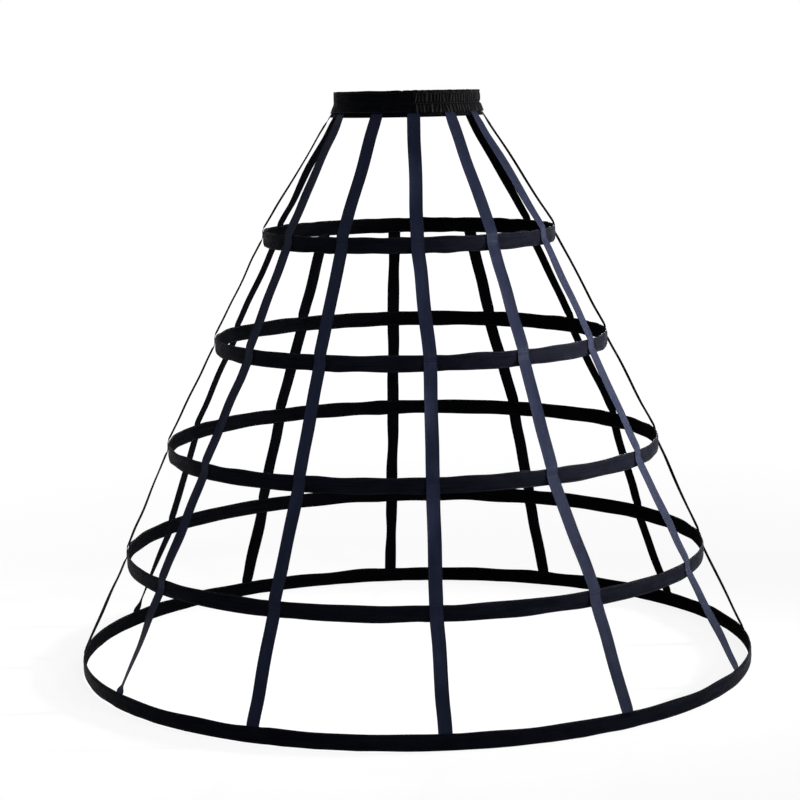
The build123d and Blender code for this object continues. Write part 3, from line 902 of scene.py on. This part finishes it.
def make_band_stitches(name, start, stand, rows):
    """Stitch rows along the outside of half of the waistband."""
    stitching = Cloth()
    angles = np.linspace(start, start + 180.0, BAND_STITCHES)[1:-1]
    along, radial = ring_axes(angles)
    for row in rows:
        out, _ = stand(angles, np.full(len(angles), row))
        radius = band_radius_at(BAND_RADIUS, row) + out + BAND_LIFT
        centres = radial * radius[:, None] + np.array((0.0, 0.0, row))
        add_stitches(stitching, centres, along, radial, *BAND_STITCH)
    piece = stitching.piece(name, THREAD)
    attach(piece, "root")


def make_elastic(name, low, high):
    """An elastic in its channel of the gathered half, woven in ribs along its length."""
    rows = np.linspace(low, high, int((high - low) / ELASTIC_STEP))
    half = ELASTIC_HALF + RIB_HEIGHT * np.cos(2 * math.pi * (rows - low) / RIB_PITCH + math.pi)
    half[[0, -1]] = ELASTIC_EDGE
    middle = (SLOT_INNER + SLOT_OUTER) / 2
    heights = np.concatenate([rows, rows[::-1]])
    offsets = np.concatenate([half, -half[::-1]])
    angles = np.linspace(FRONT + ELASTIC_END, BACK - ELASTIC_END, ELASTIC_COLUMNS)
    crimp = CRIMP * np.cos(np.arange(len(angles)) * math.pi)
    radii = band_radius_at(middle + offsets, heights)[None, :] + crimp[:, None]
    points = ring_points(radii, angles, heights)
    cloth = Cloth()
    across = np.concatenate([heights, heights[:1]]) - low
    rings = cloth.patch(points, length_uvs(np.radians(angles - FRONT) * middle, across), close_v=True)
    cloth.caps(rings, [np.stack([heights, heights], -1)] * 2)
    piece = cloth.piece(f"{name}_web", ELASTIC)
    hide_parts(name)
    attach(piece, "root")
    return piece


make_band("waistband_plain_cloth", "waistband_plain", BACK, PLAIN_COLUMNS, PLAIN_ROWS, plain_stand, WAIST)
make_band("waistband_gathered_cloth", "waistband_gathered", FRONT, GATHER_COLUMNS, GATHER_ROWS, gather_rows,
          GATHER)
make_band_stitches("waistband_plain_stitching", BACK, plain_stand, PLAIN_SEAMS)
make_band_stitches("waistband_gathered_stitching", FRONT, gather_rows, GATHER_SEAMS)
make_elastic("elastic_lower", 819.79, 825.79)
upper_web = make_elastic("elastic_upper", 828.19, 843.19)


# Stage, in metres. The floor: half width, level, grey for the light that it throws back, and for its shadows.
FLOOR_HALF, FLOOR_LEVEL = 30.0, -0.0006
FLOOR_GREY, SHADOW_GREY = 0.82, 0.22
# Distances from the origin between which the floor's glow rises, and its strengths
GLOW_DISTANCES, GLOW_STRENGTHS = (0.7, 2.6), (0.85, 0.96)
WORLD_LIGHT = 0.38
# Softboxes: size, spread in degrees, and the name, place, aim and power of each
SOFTBOX_SIZE, SOFTBOX_SPREAD = 0.5, 22.0
LAMPS = (
    ("key", (3.35, -0.1, 1.0), (0.2, -0.1, 0.43), 8.2),
    ("side", (2.5, -2.2, 1.3), (0.1, -0.2, 0.43), 1.5),
    ("front", (1.2, -3.5, 1.7), (0.0, -0.3, 0.43), 0.63),
    ("left", (-1.9, -2.6, 1.4), (0.0, -0.2, 0.45), 0.09),
    ("back", (0.8, 3.4, 1.0), (0.0, 0.2, 0.40), 1.5),
)
# Camera: degrees from the front, distance and height; pitch and roll in degrees, and how far its aim is off
# the axis; focal length by the picture's width
CAMERA_AZIMUTH, CAMERA_DISTANCE, CAMERA_HEIGHT = -4.0, 3.315, 0.8685
CAMERA_PITCH, CAMERA_ROLL, CAMERA_ASIDE = 8.24, 1.15, 0.0182
FOCAL_SHARE = 2249.0 / 800.0
SENSOR_WIDTH = 36.0
UP = Vector((0, 0, 1))


def shows_background(tree):
    """1 for the rays that show the background as it is: camera, glossy and transmission rays."""
    path = tree.nodes.new("ShaderNodeLightPath")
    seen = math_node(tree, "MAXIMUM", path.outputs["Is Camera Ray"], path.outputs["Is Glossy Ray"])
    return math_node(tree, "MAXIMUM", seen, path.outputs["Is Transmission Ray"])


def make_floor():
    """A white floor with a faint shadow: it glows where it is seen, and is plain for all other rays."""
    corners = [(x * FLOOR_HALF, y * FLOOR_HALF, FLOOR_LEVEL) for x, y in ((-1, -1), (1, -1), (1, 1), (-1, 1))]
    mesh = bpy.data.meshes.new("floor")
    mesh.from_pydata(corners, [], [(0, 1, 2, 3)])
    floor = bpy.data.objects.new("floor", mesh)
    bpy.context.scene.collection.objects.link(floor)
    material, tree, shader = new_material("floor_white")
    tree.nodes.remove(shader)
    plain, faint = (tree.nodes.new("ShaderNodeBsdfDiffuse") for _ in range(2))
    for surface, grey in ((plain, FLOOR_GREY), (faint, SHADOW_GREY)):
        surface.inputs["Color"].default_value = (grey, grey, grey, 1.0)
    kinds = "Emission", "NewGeometry", "VectorMath", "AddShader", "MixShader"
    glow, place, away, both, choose = (tree.nodes.new(f"ShaderNode{kind}") for kind in kinds)
    away.operation = "LENGTH"
    for source, target in (
        (place.outputs["Position"], away.inputs[0]),
        (map_range(tree, away.outputs["Value"], *GLOW_DISTANCES, *GLOW_STRENGTHS), glow.inputs["Strength"]),
        (faint.outputs[0], both.inputs[0]),
        (glow.outputs[0], both.inputs[1]),
        (shows_background(tree), choose.inputs[0]),
        (plain.outputs[0], choose.inputs[1]),
        (both.outputs[0], choose.inputs[2]),
        (choose.outputs[0], tree.nodes["Material Output"].inputs["Surface"]),
    ):
        tree.links.new(source, target)
    mesh.materials.append(material)


def make_world():
    """A world that is white where it is seen and gives a weaker light."""
    world = bpy.data.worlds.new("studio")
    bpy.context.scene.world = world
    world.use_nodes = True
    tree = world.node_tree
    background = tree.nodes["Background"]
    background.inputs["Color"].default_value = (1.0, 1.0, 1.0, 1.0)
    strength = map_range(tree, shows_background(tree), 0.0, 1.0, WORLD_LIGHT, 1.0)
    tree.links.new(strength, background.inputs["Strength"])


def make_lamp(name, place, aim, power):
    """A softbox with a grid over it, which keeps its light on the cage."""
    lamp = bpy.data.lights.new(name, "AREA")
    lamp.shape = "SQUARE"
    lamp.size = SOFTBOX_SIZE
    lamp.spread = math.radians(SOFTBOX_SPREAD)
    lamp.energy = power
    made = bpy.data.objects.new(name, lamp)
    made.location = place
    made.rotation_euler = (Vector(aim) - Vector(place)).to_track_quat("-Z", "Y").to_euler()
    bpy.context.scene.collection.objects.link(made)


def make_camera():
    """The photograph's camera, fitted to the edges of its hoops and to its tapes."""
    azimuth, pitch, roll = (math.radians(angle) for angle in (CAMERA_AZIMUTH, CAMERA_PITCH, CAMERA_ROLL))
    back = Vector((math.sin(azimuth), -math.cos(azimuth), 0.0))
    right = Vector((math.cos(azimuth), math.sin(azimuth), 0.0))
    yaw = math.atan(CAMERA_ASIDE / CAMERA_DISTANCE)
    level = -back * math.cos(yaw) - right * math.sin(yaw)
    forward = level * math.cos(pitch) - UP * math.sin(pitch)
    flat_right = forward.cross(UP).normalized()
    flat_up = flat_right.cross(forward)
    up = flat_up * math.cos(roll) + flat_right * math.sin(roll)
    side = flat_right * math.cos(roll) - flat_up * math.sin(roll)
    camera = bpy.data.objects.new("camera", bpy.data.cameras.new("camera"))
    camera.data.sensor_width = SENSOR_WIDTH
    camera.data.lens = SENSOR_WIDTH * FOCAL_SHARE
    turned = Matrix((side, up, -forward)).transposed().to_4x4()
    camera.matrix_world = Matrix.Translation(back * CAMERA_DISTANCE + UP * CAMERA_HEIGHT) @ turned
    bpy.context.scene.collection.objects.link(camera)
    bpy.context.scene.camera = camera


make_floor()
make_world()
for lamp_values in LAMPS:
    make_lamp(*lamp_values)
make_camera()
bpy.context.scene.view_settings.view_transform = "Standard"
